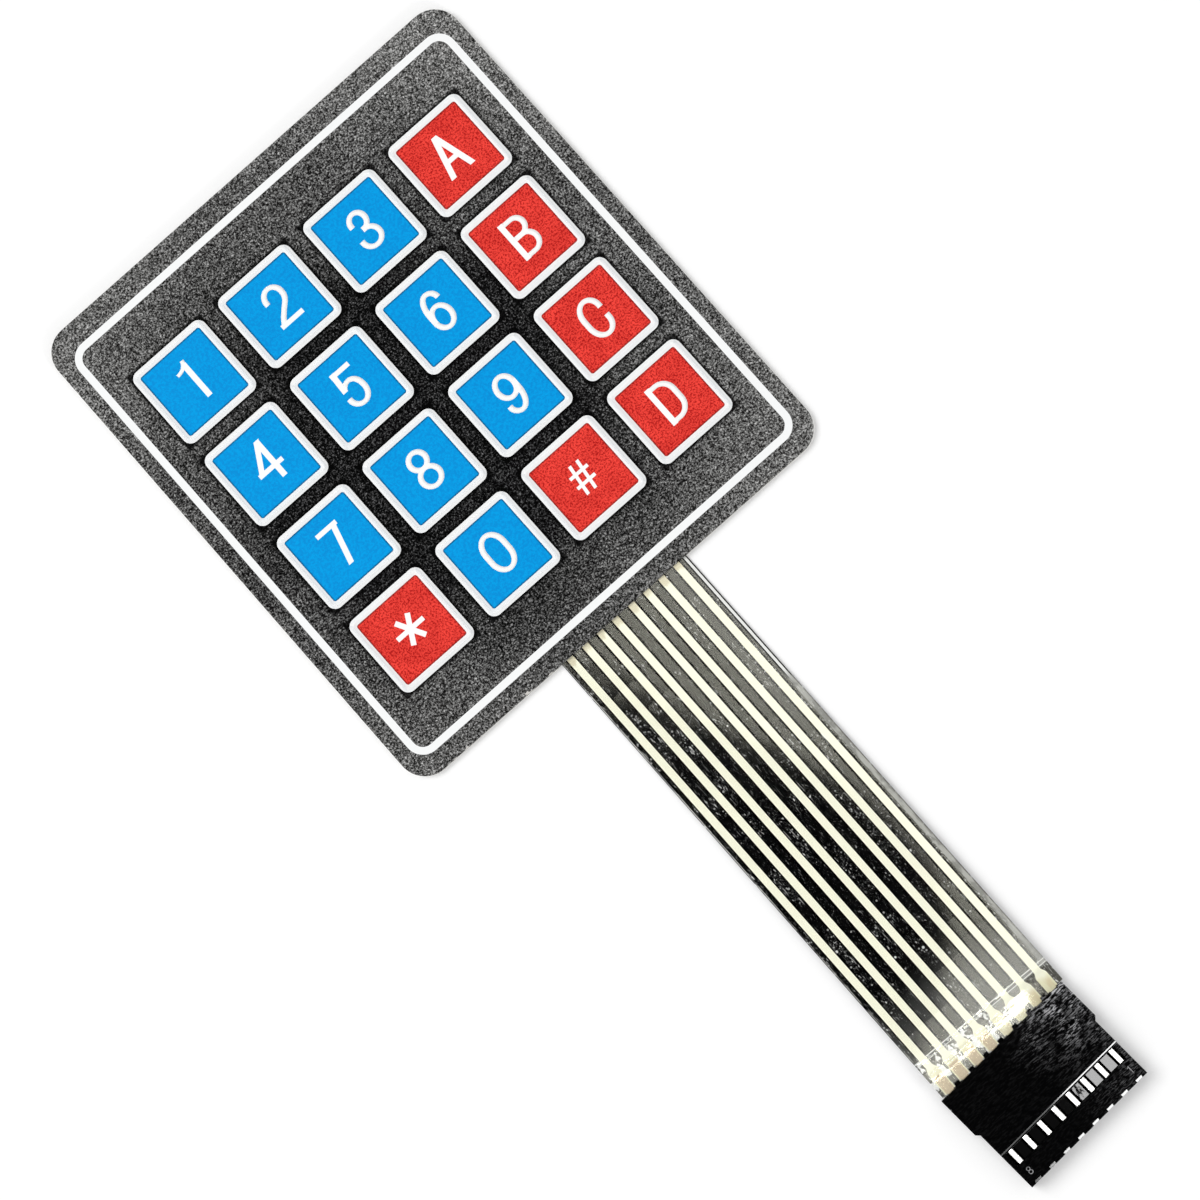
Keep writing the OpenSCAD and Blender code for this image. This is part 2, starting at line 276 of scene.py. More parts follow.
def use(tree, group, **inputs):
    """Places a group in a tree and returns its outputs."""
    node = add(tree, "Group", {"node_tree": bpy.data.node_groups[group]}, **inputs)
    return node.outputs


def make_groups():
    """Builds the effects that several finishes share."""
    # Place on the part, in millimetres
    tree, _, out = new_group("place_mm", {}, ("X", "Y", "Z"))
    scaled = add(tree, "VectorMath", {"operation": "SCALE"}, Vector=add(tree, "TexCoord").outputs["Object"])
    scaled.inputs["Scale"].default_value = 1.0 / MM
    parts = add(tree, "SeparateXYZ", Vector=scaled.outputs[0])
    for axis in "XYZ":
        feed(out[axis], parts.outputs[axis])

    # Distance from the nearest key's frame outwards and from its field's edge inwards, in millimetres
    tree, _, out = new_group("key_edges", {}, ("Outside", "Inside", "Near", "Across", "Along"))
    at = use(tree, "place_mm")
    sides = []
    near = []
    for axis, pitch, shift in (("X", KEY_PITCH_X, 0.0), ("Y", KEY_PITCH_Y, -PRINT_SHIFT_Y)):
        along = maths("ADD", at[axis], shift)
        wrapped = maths("WRAP", maths("ADD", along, pitch / 2.0), pitch / 2.0, -pitch / 2.0)
        feed(out["Across" if axis == "X" else "Along"], wrapped)
        sides.append(maths("ABSOLUTE", wrapped))
        near.append(maths("LESS_THAN", maths("ABSOLUTE", along), 2.0 * pitch))
    away = highest(*sides)
    feed(out["Outside"], maths("SUBTRACT", away, HALF_FRAME))
    feed(out["Inside"], maths("SUBTRACT", HALF_FIELD, away))
    feed(out["Near"], product(*near))

    # Distance from the middle of the nearest conductor of the tail, in millimetres
    tree, _, out = new_group("off_track", {}, ("Off",))
    at = use(tree, "place_mm")
    column = maths("GREATER_THAN", at["X"], BETWEEN_TRACKS_X)
    first = maths("ADD", ROW_TRACK_X, product(column, COLUMN_TRACK_X - ROW_TRACK_X))
    off = maths("WRAP", maths("SUBTRACT", at["X"], first), TRACK_PITCH / 2.0, -TRACK_PITCH / 2.0)
    feed(out["Off"], maths("ABSOLUTE", off))

    # Place along the tail past the spacer's end, in millimetres
    tree, _, out = new_group("past_seam", {}, ("Past",))
    at = use(tree, "place_mm")
    seam = maths("ADD", SEAM_Y, product(at["X"], SEAM_SLOPE))
    feed(out["Past"], maths("SUBTRACT", seam, at["Y"]))

    # The film's right edge by the pad: a painted highlight as a pale line between two dark ones
    tree, _, out = new_group("edge_lines", {}, ("Dark", "Pale"))
    at = use(tree, "place_mm")
    inward = maths("SUBTRACT", FILM_EDGE, at["X"])
    by_pad = ramp(at["Y"], *EDGE_LINES_Y)
    pale = product(ramp(inward, 0.15, 0.19), ramp(inward, 0.53, 0.49))
    feed(out["Pale"], product(pale, by_pad))
    feed(out["Dark"], product(ramp(inward, 0.66, 0.62), rest(pale), by_pad))

    # Fine matte grain of a textured film, with its size in millimetres
    settings = {"Size": 0.3, "Softness": 0.2, "Level": 0.5}
    tree, given, out = new_group("film_grain", settings, ("Speckle", "Height"))
    density = maths("DIVIDE", 1.0 / MM, given["Size"])
    place = add(tree, "TexCoord").outputs["Object"]
    coarse = add(tree, "TexNoise", Vector=place, Scale=density, Detail=2.0, Roughness=0.6).outputs["Fac"]
    fine = add(tree, "TexNoise", Vector=place, Scale=product(density, 2.3), Detail=1.0).outputs["Fac"]
    both = maths("ADD", product(coarse, 0.65), product(fine, 0.35))
    low = maths("SUBTRACT", given["Level"], given["Softness"])
    high = maths("ADD", given["Level"], given["Softness"])
    feed(out["Speckle"], ramp(both, low, high))
    feed(out["Height"], both)

    # Loose specks of dust, with their spacing and radius in millimetres
    tree, given, out = new_group("dust_specks", {"Spacing": 2.0, "Radius": 0.1, "Share": 0.4}, ("Mask",))
    cells = add(
        tree, "TexVoronoi", Vector=add(tree, "TexCoord").outputs["Object"],
        Scale=maths("DIVIDE", 1.0 / MM, given["Spacing"]),
    )
    reach = maths("DIVIDE", given["Radius"], given["Spacing"])
    chance = add(tree, "SeparateColor", Color=cells.outputs["Color"])
    size = product(reach, chance.outputs["Green"])
    near = maths("LESS_THAN", cells.outputs["Distance"], size)
    kept = maths("LESS_THAN", chance.outputs["Red"], given["Share"])
    feed(out["Mask"], product(near, kept))

    # Rubbed outer edge of the die-cut pad, with its reach in millimetres
    tree, given, out = new_group("cut_edge", {"Reach": 0.3, "Break": 0.5}, ("Mask",))
    at = use(tree, "place_mm")
    over = []
    for axis, half in (("X", HALF_PAD_W), ("Y", HALF_PAD_H)):
        over.append(maths("SUBTRACT", maths("ABSOLUTE", at[axis]), half - PAD_CORNER))
    corner = [maths("POWER", highest(side, 0.0), 2.0) for side in over]
    away = maths("SQRT", maths("ADD", *corner))
    inside = maths("MINIMUM", highest(*over), 0.0)
    depth = maths("SUBTRACT", PAD_CORNER, maths("ADD", away, inside))
    worn = product(given["Reach"], ramp(noise(tree, 900.0, 3.0), given["Break"], 0.8))
    feed(out["Mask"], maths("LESS_THAN", depth, worn))


def finish(name, **constants):
    """A new material whose plain values stand on its Principled shader."""
    material = bpy.data.materials.new(name)
    material.use_nodes = True
    tree = material.node_tree
    shader = tree.nodes["Principled BSDF"]
    for socket, value in constants.items():
        shader.inputs[socket.replace("_", " ")].default_value = value
    return material, tree, shader.inputs


def bump(sockets, height, depth_mm, strength=1.0):
    """Feeds a height to the shader's normal, with its depth in millimetres."""
    node = add(tree_of(height), "Bump", Strength=strength, Distance=depth_mm * MM, Height=height)
    feed(sockets["Normal"], node.outputs["Normal"])


def times(tint, value):
    """A colour made darker or lighter by a value."""
    node = add(tree_of(value), "VectorMath", {"operation": "SCALE"})
    feed(node.inputs[0], tint)
    feed(node.inputs["Scale"], value)
    return node.outputs[0]


def speckled(tint, height, contrast):
    """A colour with grain that is as strong to the eye in dark places as in pale ones."""
    tree = tree_of(height)
    level = add(tree, "Gamma", Color=tint, Gamma=1.0 / DISPLAY_GAMMA).outputs["Color"]
    swing = product(maths("SUBTRACT", height, 0.5), contrast)
    raised = add(tree, "VectorMath", {"operation": "ADD"})
    feed(raised.inputs[0], level)
    feed(raised.inputs[1], swing)
    kept = add(tree, "VectorMath", {"operation": "MAXIMUM"})
    feed(kept.inputs[0], raised.outputs[0])
    return add(tree, "Gamma", Color=kept.outputs[0], Gamma=DISPLAY_GAMMA).outputs["Color"]


# Finishes of the pad

CHIPPED_EDGE = (0.62, 0.60, 0.57)
# Colour of the painted shade on some sides of the key frames
FRAME_SHADE = (0.52, 0.57, 0.63)


def overlay_finish(colours):
    """Matte black overlay with painted sheen towards its edges, worn there, and painted shade beside the key
    frames.
    """
    material, tree, shader = finish("matte_black_overlay", Roughness=0.62, Specular_IOR_Level=0.012)
    at = use(tree, "place_mm")
    across = maths("POWER", maths("SUBTRACT", at["X"], SHADE_X), 2.0)
    along = maths("POWER", maths("SUBTRACT", at["Y"], SHADE_Y), 2.0)
    out = maths("SQRT", maths("ADD", across, along))
    out = maths("ADD", out, ramp(noise(tree, 60.0, 2.0), 0.3, 0.7, -3.0, 3.0))
    # Painted sheen: the overlay grows paler away from the point at SHADE_X, SHADE_Y
    pale = ramp(out, 20.0, 54.0, smooth=False)
    tone = blend(pale, colours.overlay_core, colours.overlay_rim_sheen)
    grain = use(tree, "film_grain", Size=0.24, Softness=0.2)
    tone = speckled(tone, grain["Height"], ramp(pale, 0.0, 0.3, 2.2, 2.7))
    edges = use(tree, "key_edges")
    # Painted shadow of the embossed frames on the overlay around each key
    painted_frame_shadow = product(ramp(edges["Outside"], 0.55, 0.12, 0.0, 0.92), edges["Near"])
    tone = times(tone, rest(painted_frame_shadow))
    worn = use(tree, "cut_edge", Reach=0.55, Break=0.55)["Mask"]
    low_left = product(ramp(at["Y"], -36.0, -37.0), ramp(at["X"], -8.0, -14.0))
    chips = product(worn, maths("ADD", 0.25, low_left))
    feed(shader["Base Color"], blend(chips, tone, CHIPPED_EDGE))
    feed(shader["Roughness"], ramp(grain["Speckle"], 0.0, 1.0, 0.55, 0.72))
    bump(shader, grain["Height"], 0.09, 0.6)
    return material


def print_finish(name, tint, darker, grain_size, mottling, level=0.5, edge=0.0, sides=()):
    """Screen print under the matte film, slightly mottled, with painted shade along a field's edge or on a
    frame's sides.
    """
    material, tree, shader = finish(name, Roughness=0.55, Specular_IOR_Level=0.05)
    grain = use(tree, "film_grain", Size=grain_size, Softness=0.08, Level=level)
    mottle = ramp(noise(tree, 420.0, 3.0), 0.3, 0.7, 0.0, mottling * 0.25)
    specks = product(rest(grain["Speckle"]), mottling)
    ink = blend(maths("ADD", mottle, specks, clamp=True), tint, darker)
    # Painted shade along the field's edge
    if edge:
        rim = ramp(use(tree, "key_edges")["Inside"], 0.30, 0.06, 0.0, edge)
        ink = times(ink, rest(rim))
    # Painted shade on some sides of each frame
    for axis, other, sign, amount in sides:
        edges = use(tree, "key_edges")
        middle = maths("ABSOLUTE", maths("ADD", edges["Outside"], HALF_LINE))
        here = product(edges[axis], sign)
        facing = maths("GREATER_THAN", here, maths("ABSOLUTE", edges[other]))
        band = product(ramp(middle, 0.30, 0.12, 0.0, amount), facing)
        ink = blend(band, ink, FRAME_SHADE)
    feed(shader["Base Color"], ink)
    feed(shader["Roughness"], ramp(grain["Speckle"], 0.0, 1.0, 0.5, 0.62))
    bump(shader, grain["Height"], 0.05, 0.35)
    return material


def adhesive_finish():
    """Slightly cloudy pressure-sensitive adhesive, seen as thin lines at the pad's sides."""
    material, tree, shader = finish("cloudy_adhesive", Roughness=0.4, Subsurface_Weight=0.2)
    shader["Subsurface Radius"].default_value = (0.2 * MM, 0.2 * MM, 0.15 * MM)
    grain = use(tree, "film_grain", Size=0.5, Softness=0.25)
    feed(shader["Base Color"], blend(grain["Speckle"], (0.52, 0.50, 0.44), (0.70, 0.68, 0.60)))
    bump(shader, grain["Height"], 0.03, 0.3)
    return material


def liner_finish():
    """Pale release paper with a faint fibre."""
    material, tree, shader = finish("release_paper", Roughness=0.5)
    fibre = noise(tree, (400.0, 2600.0, 900.0), 4.0)
    worn = use(tree, "cut_edge", Reach=0.4, Break=0.45)["Mask"]
    paper = blend(ramp(fibre, 0.3, 0.7), (0.72, 0.70, 0.64), (0.86, 0.85, 0.80))
    feed(shader["Base Color"], blend(product(worn, 0.5), paper, (0.50, 0.48, 0.43)))
    bump(shader, fibre, 0.03, 0.3)
    return material


# Finishes of the tail

FILM_TINT = (0.995, 0.995, 0.985, 1.0)
FILM_SHEEN = (1.0, 0.985, 0.84, 1.0)
INK_SPECK = (0.88, 0.87, 0.65)
PAD_SHADOW = (0.62, 0.55, 0.36)
INK_YELLOW = (0.78, 0.74, 0.47)
COLUMN_END_TINT = (0.72, 0.62, 0.38)
DUST_AND_HIGHLIGHT = (0.80, 0.81, 0.79)
BARE_EDGE = (0.52, 0.52, 0.48)


def dim_corner(at, past):
    """The film's right corner past the spacer, kept dark as a painted dark reflection, without the paler
    band.
    """
    return product(ramp(past, 0.5, 0.8), ramp(at["X"], 5.5, 6.6))


def clear_finish(name, ior, wave_mm, crease_mm, masked):
    """Clear film, open to shadows, creased near the connector, and unseen beside the conductors and in one
    corner for painted shade.
    """
    material, tree, shader = finish(
        name, Roughness=0.02, IOR=ior, Transmission_Weight=1.0, Base_Color=FILM_TINT, Specular_Tint=FILM_SHEEN
    )
    slow = noise(tree, (90.0, 45.0, 90.0), 2.0)
    crease = noise(tree, (420.0, 900.0, 420.0), 2.0)
    at = use(tree, "place_mm")
    pressed = ramp(at["Y"], LAND_TOP_Y + 1.2, LAND_TOP_Y + 0.6)
    smooth = ramp(at["Y"], LAND_TOP_Y - 2.0, LAND_TOP_Y - 0.9)
    row_side = ramp(at["X"], 6.0, -0.5, 0.12, 1.0)
    creased = product(pressed, smooth, row_side, crease_mm / wave_mm)
    folds = product(maths("SUBTRACT", crease, 0.5), creased)
    bump(shader, maths("ADD", slow, folds), wave_mm)
    if masked:
        off = use(tree, "off_track")["Off"]
        past = use(tree, "past_seam")["Past"]
        # Left out beside the conductors and on the dark edge lines, for painted shade
        seen = highest(ramp(off, 0.48, 0.43), ramp(off, 0.66, 0.84), ramp(past, -1.0, 0.0))
        seen = product(seen, rest(use(tree, "edge_lines")["Dark"]))
        feed(shader["Alpha"], product(seen, rest(dim_corner(at, past))))
    rays = add(tree, "LightPath").outputs
    mix = add(tree, "MixShader")
    feed(mix.inputs[0], highest(rays["Is Shadow Ray"], rays["Is Diffuse Ray"]))
    feed(mix.inputs[1], tree.nodes["Principled BSDF"].outputs["BSDF"])
    feed(mix.inputs[2], add(tree, "BsdfTransparent").outputs["BSDF"])
    feed(tree.nodes["Material Output"].inputs["Surface"], mix.outputs["Shader"])
    return material


def track_finish(colours):
    """Cream conductor ink, with a painted shadow of the pad where it leaves the pad, and yellower and tan at
    its ends.
    """
    material, tree, shader = finish("cream_conductor", Roughness=0.5, Specular_IOR_Level=0.3)
    grain = use(tree, "film_grain", Size=0.22, Softness=0.25)
    at = use(tree, "place_mm")
    cloud = noise(tree, (900.0, 260.0, 900.0), 3.0)
    drifting = maths("ADD", at["Y"], ramp(cloud, 0.25, 0.75, -0.5, 0.5))
    ink = blend(product(grain["Speckle"], 0.25), colours.track, INK_SPECK)
    # Painted shadow of the pad's edge where the conductors leave it
    pad_shadow = ramp(drifting, TAIL_TOP_Y - 1.3, TAIL_TOP_Y - 0.6, 0.0, 0.75)
    ink = blend(pad_shadow, ink, PAD_SHADOW)
    yellow = ramp(drifting, LAND_TOP_Y - 0.4, LAND_TOP_Y - 1.8, 0.0, 0.7)
    ink = blend(yellow, ink, INK_YELLOW)
    row_side = maths("LESS_THAN", at["X"], 0.0)
    inset = ramp(use(tree, "off_track")["Off"], 0.72, 0.60)
    tanned = product(ramp(at["Y"], LAND_TOP_Y - 1.45, LAND_TOP_Y - 1.60), row_side, inset)
    tanned = product(tanned, ramp(grain["Height"], 0.40, 0.58, 1.0, 0.72))
    ink = blend(tanned, ink, colours.land)
    # Yellower ends of the column conductors
    column_end_tint = product(ramp(at["Y"], LAND_TOP_Y - 0.9, LAND_TOP_Y - 1.9), inset)
    column_end_tint = product(column_end_tint, ramp(cloud, 0.45, 0.60, 0.0, 0.7), rest(row_side))
    feed(shader["Base Color"], blend(column_end_tint, ink, COLUMN_END_TINT))
    bump(shader, grain["Height"], 0.02, 0.4)
    return material


def film_dust_and_sheen(tree, at):
    """How much dust, fluff and fine scratches cover the black film, with a painted sheen towards its right
    edge.
    """
    edge = ramp(maths("ABSOLUTE", at["X"]), 3.0, 10.5, -0.03, 0.10)
    cloud = maths("ADD", noise(tree, (330.0, 190.0, 330.0), 3.0), edge)
    patchy = ramp(cloud, 0.46, 0.64, 0.04, 1.0)
    dust = use(tree, "dust_specks", Spacing=0.42, Radius=0.15, Share=product(patchy, 0.7))["Mask"]
    often = ramp(patchy, 0.0, 1.0, 0.10, 0.45)
    fluff = use(tree, "dust_specks", Spacing=1.7, Radius=0.24, Share=often)["Mask"]
    fleck = ramp(noise(tree, (3800.0, 1900.0, 900.0), 2.0, 0.5), 0.58, 0.74, 0.0, 0.20)
    scratch = ramp(noise(tree, (4200.0, 420.0, 900.0), 1.0, -0.45), 0.68, 0.76)
    for turn in (0.7, -1.1):
        fibres = noise(tree, (5200.0, 1300.0, 900.0), 1.0, turn)
        scratch = maths("ADD", scratch, ramp(fibres, 0.70, 0.76, 0.0, 2.0))
    marks = maths("ADD", product(scratch, 0.45), fleck)
    marks = product(marks, maths("ADD", patchy, 0.15))
    fine = use(tree, "film_grain", Size=0.24, Softness=0.05, Level=0.56)["Speckle"]
    fine = product(fine, ramp(patchy, 0.0, 1.0, 0.008, 0.05))
    marks = highest(marks, product(dust, 0.42), product(fluff, 0.85), fine)
    # Painted sheen on the film's right side, near the pad
    sheen_patch = product(ramp(at["X"], 3.0, 9.0, 0.0, 0.07), ramp(at["Y"], *SHEEN_PATCH_Y))
    return maths("ADD", marks, sheen_patch, clamp=True)


def black_film_finish(colours):
    """Glossy black film with dust, scratches, painted highlights and pale bare edges, crumpled past the
    spacer.
    """
    material, tree, shader = finish("glossy_black_film", Roughness=0.05, IOR=1.5, Specular_Tint=FILM_SHEEN)
    at = use(tree, "place_mm")
    past = use(tree, "past_seam")["Past"]
    edges = use(tree, "edge_lines")
    outer = maths("SUBTRACT", FILM_EDGE, maths("ABSOLUTE", at["X"]))
    ragged = ramp(noise(tree, (900.0, 300.0, 700.0), 4.0), 0.46, 0.60)

    # Bare edges, and a painted highlight as a thin line along the left one
    right = ramp(at["X"], FILM_RIGHT - 0.02, FILM_RIGHT + 0.04)
    right = product(right, ramp(past, 0.6, 0.3), rest(ramp(at["Y"], *EDGE_LINES_Y)))
    right = product(right, ramp(ragged, 0.0, 1.0, 0.55, 1.0))
    left = product(ramp(at["X"], FILM_LEFT - 0.12, FILM_LEFT - 0.22), ragged)
    bare = product(highest(right, left), ramp(outer, 0.08, 0.12))
    line = product(ramp(outer, 0.08, 0.11), ramp(outer, 0.18, 0.15))
    line = product(line, maths("LESS_THAN", at["X"], 0.0), ramp(at["Y"], *LEFT_LINE_Y))
    line = product(line, ramp(ragged, 0.0, 1.0, 0.45, 1.0))
    marks = highest(film_dust_and_sheen(tree, at), line)
    marks = highest(product(marks, rest(edges["Dark"])), edges["Pale"])

    # The spacer's end as two fine lines of painted highlight, and a paler band before it
    for offset, half, level in ((0.0, 0.11, 1.0), (0.46, 0.10, 0.9), (0.23, 0.17, 0.25)):
        away = maths("ABSOLUTE", maths("SUBTRACT", past, offset))
        marks = highest(marks, ramp(away, half, half * 0.4, 0.0, level))
    paler_before_seam = product(ramp(past, -10.0, -1.0), ramp(at["X"], -8.0, 4.0, 0.07, 0.20))
    marks = highest(marks, product(paler_before_seam, rest(dim_corner(at, past))))

    # Crumpled film past the spacer, on the side of the row conductors, with painted glare on its folds and
    # painted shade in its creases
    folds = noise(tree, (900.0, 620.0, 700.0), 2.0, 0.3)
    crumpled = product(ramp(past, -0.2, 0.3), ramp(at["X"], 2.0, 0.0))
    crease_glare = product(ramp(folds, 0.505, 0.53, 0.0, 0.95), crumpled)
    crease_shade = ramp(maths("ABSOLUTE", maths("SUBTRACT", folds, 0.48)), 0.025, 0.01)
    marks = highest(product(marks, rest(product(crease_shade, crumpled))), crease_glare)

    # Dust and painted highlights share one pale colour
    tone = blend(marks, colours.film, DUST_AND_HIGHLIGHT)
    feed(shader["Base Color"], blend(product(bare, 0.75), tone, BARE_EDGE))
    feed(shader["Roughness"], maths("ADD", 0.05, product(bare, 0.45)))

    # Dark lines of painted shade beside the conductors, which mirror nothing
    off = use(tree, "off_track")["Off"]
    beside = product(ramp(off, 0.47, 0.50), ramp(off, 0.72, 0.63), ramp(past, -0.4, -1.0))
    feed(shader["Metallic"], highest(beside, edges["Dark"]))
    bump(shader, noise(tree, (160.0, 90.0, 160.0), 0.0), 0.02, 0.25)
    return material


# Finishes of the connector

PALE_STREAK = (0.70, 0.70, 0.72)
NUMBER_HIGHLIGHT = (0.34, 0.34, 0.35)
POLISHED_PLASTIC = (0.0014, 0.0014, 0.0014)
DULL_PLATING = (0.66, 0.65, 0.62)


def housing_finish(colours):
    """Black moulded plastic, with paler streaks on its top towards one end."""
    material, tree, shader = finish("black_moulding", Roughness=0.42, Specular_IOR_Level=0.004)
    at = use(tree, "place_mm")
    streaks = noise(tree, (1300.0, 6400.0, 2500.0), 4.0, -HOUSING_SKEW, Roughness=0.68)
    side = maths("POWER", ramp(at["X"], -4.0, 8.5, 0.02, 1.0, smooth=False), 3.0)
    streaked = product(side, ramp(at["Y"], *STREAKS_Y, 0.12, 1.0))
    streaked = product(streaked, ramp(noise(tree, 520.0, 2.0), 0.35, 0.62, 0.15, 1.0))
    facing = add(tree, "SeparateXYZ", Vector=add(tree, "NewGeometry").outputs["True Normal"]).outputs["Z"]
    streaked = product(highest(streaked, 0.006), ramp(facing, 0.6, 0.9))
    pale_streaks = product(ramp(streaks, 0.50, 0.58), streaked)
    specks = use(tree, "dust_specks", Spacing=1.6, Radius=0.14, Share=0.35)["Mask"]
    pale_streaks = highest(pale_streaks, product(specks, 0.6))
    feed(shader["Base Color"], blend(pale_streaks, colours.housing, PALE_STREAK))
    feed(shader["Roughness"], ramp(streaks, 0.3, 0.7, 0.34, 0.52))
    bump(shader, streaks, 0.03, 0.45)
    return material


def polished_finish(name, colours, gloss, roughness, wave_mm, duller=0.0):
    """The same plastic where the mould was polished, duller on the left of the step if wanted."""
    material, tree, shader = finish(name, Roughness=roughness, Specular_IOR_Level=gloss)
    wave = noise(tree, 700.0, 2.0)
    feed(shader["Base Color"], blend(wave, colours.housing, POLISHED_PLASTIC))
    if duller:
        at = use(tree, "place_mm")
        left = product(ramp(at["X"], 3.0, -3.0), ramp(at["Y"], *STEP_Y))
        feed(shader["Roughness"], ramp(left, 0.0, 1.0, roughness, duller))
    bump(shader, wave, wave_mm)
    return material


def number_finish(colours):
    """Raised numbers of the moulding, made pale by a painted highlight."""
    material, tree, shader = finish("highlighted_number", Roughness=0.4, Specular_IOR_Level=0.1)
    worn = use(tree, "film_grain", Size=0.3, Softness=0.2, Level=0.42)
    # Painted highlight on the raised numbers, broken by a grain
    feed(shader["Base Color"], blend(worn["Speckle"], colours.housing, NUMBER_HIGHLIGHT))
    bump(shader, worn["Height"], 0.02, 0.3)
    return material


def contact_finish(colours):
    """Bright plated strip with a rolled grain along it."""
    material, tree, shader = finish("bright_plating", Metallic=1.0, Roughness=0.28)
    rolled = noise(tree, (9000.0, 500.0, 5000.0), 2.0, -HOUSING_SKEW)
    feed(shader["Base Color"], blend(ramp(rolled, 0.3, 0.7), colours.plating, DULL_PLATING))
    feed(shader["Roughness"], ramp(rolled, 0.3, 0.7, 0.22, 0.36))
    bump(shader, rolled, 0.01, 0.4)
    return material


# Pieces

def dress(node, material):
    """Gives a carried-over solid its finish."""
    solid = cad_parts[node]
    if not solid.material_slots:
        solid.data.materials.append(material)
    for place in solid.material_slots:
        place.material = material


def new_object(name, data):
    """A new object of the scene."""
    made = bpy.data.objects.new(name, data)
    bpy.context.scene.collection.objects.link(made)
    return made


def place_piece(name, mesh, slot, material, *stood_for):
    """Makes a mesh a piece of the part, riding on its one body."""
    mesh.name = name
    mesh.materials.clear()
    mesh.materials.append(material)
    piece = new_object(name, mesh)
    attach(piece, "root")
    if stood_for:
        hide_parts(*stood_for)
    return piece


def merged_copy(node):
    """A solid's mesh as one joined surface."""
    bm = bmesh.new()
    bm.from_mesh(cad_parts[node].data)
    bmesh.ops.remove_doubles(bm, verts=bm.verts, dist=1e-7)
    bm.normal_update()
    return bm


def to_mesh(bm, name):
    """Hands a bmesh over to a new mesh."""
    mesh = bpy.data.meshes.new(name)
    bm.to_mesh(mesh)
    bm.free()
    return mesh


def smoothed(mesh):
    """A mesh shaded smooth along its gentle bends."""
    mesh.shade_smooth()
    mesh.set_sharp_from_angle(angle=BEND_ANGLE)
    return mesh


def taken_mesh(holder):
    """The mesh that an object shows, in place of the object."""
    graph = bpy.context.evaluated_depsgraph_get()
    made = bpy.data.meshes.new_from_object(holder.evaluated_get(graph), depsgraph=graph)
    bpy.data.objects.remove(holder)
    return made


def evaluated(mesh, *modifiers):
    """A mesh after the modifiers given as (type, settings)."""
    holder = new_object("holder", mesh)
    for kind, settings in modifiers:
        modifier = holder.modifiers.new(kind.lower(), kind)
        for name, value in settings.items():
            setattr(modifier, name, value)
    return taken_mesh(holder)


def rounded_copy(node, width, segments):
    """A solid's mesh with its sharp edges rounded."""
    bm = merged_copy(node)
    bmesh.ops.dissolve_limit(bm, angle_limit=FLAT_ANGLE, verts=bm.verts, edges=bm.edges)
    rounded = {
        "width": width, "segments": segments, "profile": 0.5, "limit_method": "ANGLE",
        "angle_limit": SHARP_ANGLE, "use_clamp_overlap": True,
    }
    return evaluated(to_mesh(bm, node), ("BEVEL", rounded))


# Legends, drawn in millimetres from the key's middle as strokes of one pen

ACROSS = "across"
UPRIGHT = "upright"
ROUND = 0.5523
LEAN_REACH = 0.36
PEN_FLATNESS = 0.82


def reach(start, end, way):
    """Handle of a curve's knot towards the next one."""
    gap = end - start
    if way == ACROSS:
        return Vector((gap.x * ROUND, 0.0))
    if way == UPRIGHT:
        return Vector((0.0, gap.y * ROUND))
    lean = Vector(way).normalized()
    return lean * gap.length * LEAN_REACH * (1.0 if lean.dot(gap) >= 0.0 else -1.0)


def bar(x0, y0, x1, y1, width=1.0, level_ends=False):
    """A straight stroke, cut square or level at its ends."""
    return {"kind": "bar", "ends": (Vector((x0, y0)), Vector((x1, y1))), "width": width, "level": level_ends}


def lean(x0, y0, x1, y1, width=1.0):
    """A straight stroke whose ends are cut level."""
    return bar(x0, y0, x1, y1, width, level_ends=True)


def up(x, y):
    """A knot where a curve runs upright."""
    return x, y, UPRIGHT


def flat(x, y):
    """A knot where a curve runs across."""
    return x, y, ACROSS


def bend(*knots, width=1.0, closed=False):
    """A curved stroke through knots of x, y and the way it runs there."""
    return {"kind": "curve", "knots": knots, "closed": closed, "width": width}


def ring(*knots):
    """A closed curved stroke."""
    return bend(*knots, closed=True)


